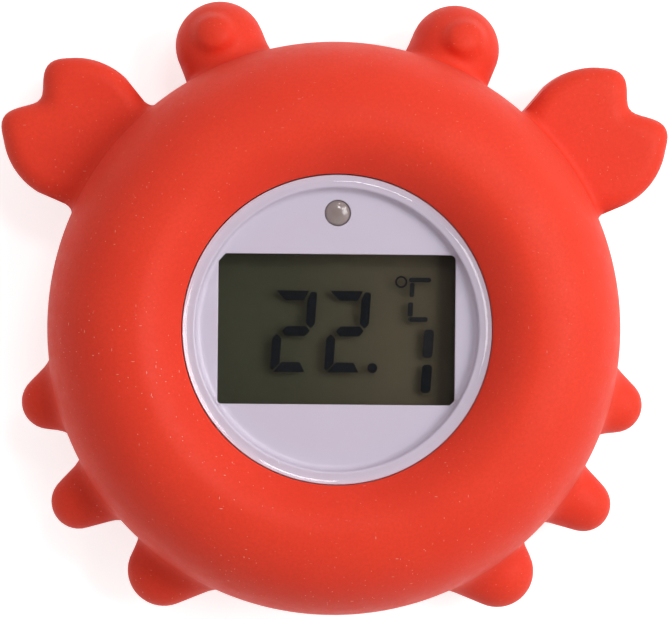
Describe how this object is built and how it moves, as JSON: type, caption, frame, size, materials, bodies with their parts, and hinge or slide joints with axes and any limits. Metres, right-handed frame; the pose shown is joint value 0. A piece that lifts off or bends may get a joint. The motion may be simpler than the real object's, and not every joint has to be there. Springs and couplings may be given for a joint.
{
  "type": "baby bath thermometer",
  "caption": "Crab-shaped bath thermometer: a hollow silicone crab holds a round sealed pod with a digital display under a clear cap.",
  "frame": {"origin": "on the axis of the round body, in the plane that the thermometer rests on", "axes": "+Z out of the display, +Y towards the eyes, +X to the right when the display is read"},
  "size_m": [0.0896, 0.0829, 0.028],
  "materials": {
    "red_silicone": "matte moulded silicone",
    "clear_polycarbonate": "clear, glossy",
    "lavender_white_abs": "satin moulded plastic",
    "grey_seal_rubber": "matte",
    "display_glass": "polished",
    "display_reflector": "satin grey foil",
    "holder_nylon": "matte moulded plastic",
    "connector_rubber": "matte",
    "board_laminate": "satin solder mask",
    "black_epoxy": "glossy cast",
    "chip_ceramic": "matte",
    "lamp_epoxy": "glossy, grey tint",
    "stainless_steel": "turned steel",
    "nickel_plate": "bright plating"
  },
  "bodies": {
    "root": {"battery_clip": "nickel_plate", "battery_cover": "lavender_white_abs", "battery_leaf": "nickel_plate", "capacitor_1": "chip_ceramic", "capacitor_2": "chip_ceramic", "chip_blob": "black_epoxy", "circuit_board": "board_laminate", "coin_cell": "stainless_steel", "connector_strip_lower": "connector_rubber", "connector_strip_upper": "connector_rubber", "cover_gasket": "grey_seal_rubber", "cover_screw_1": "stainless_steel", "cover_screw_2": "stainless_steel", "cover_screw_3": "stainless_steel", "crab_sleeve": "red_silicone", "crystal_can": "stainless_steel", "display_front_glass": "display_glass", "display_holder": "holder_nylon", "display_rear_glass": "display_glass", "display_reflector": "display_reflector", "front_shell": "lavender_white_abs", "lamp_leg_1": "nickel_plate", "lamp_leg_2": "nickel_plate", "lens": "clear_polycarbonate", "pod_screw_1": "stainless_steel", "pod_screw_2": "stainless_steel", "pod_screw_3": "stainless_steel", "pod_screw_4": "stainless_steel", "rear_shell": "lavender_white_abs", "resistor_1": "chip_ceramic", "resistor_2": "chip_ceramic", "resistor_3": "chip_ceramic", "shell_seal": "grey_seal_rubber", "status_lamp": "lamp_epoxy", "temperature_cap": "stainless_steel", "thermistor_bead": "black_epoxy", "thermistor_wire_1": "nickel_plate", "thermistor_wire_2": "nickel_plate", "water_contact_left": "stainless_steel", "water_contact_right": "stainless_steel"}
  },
  "joints": []
}
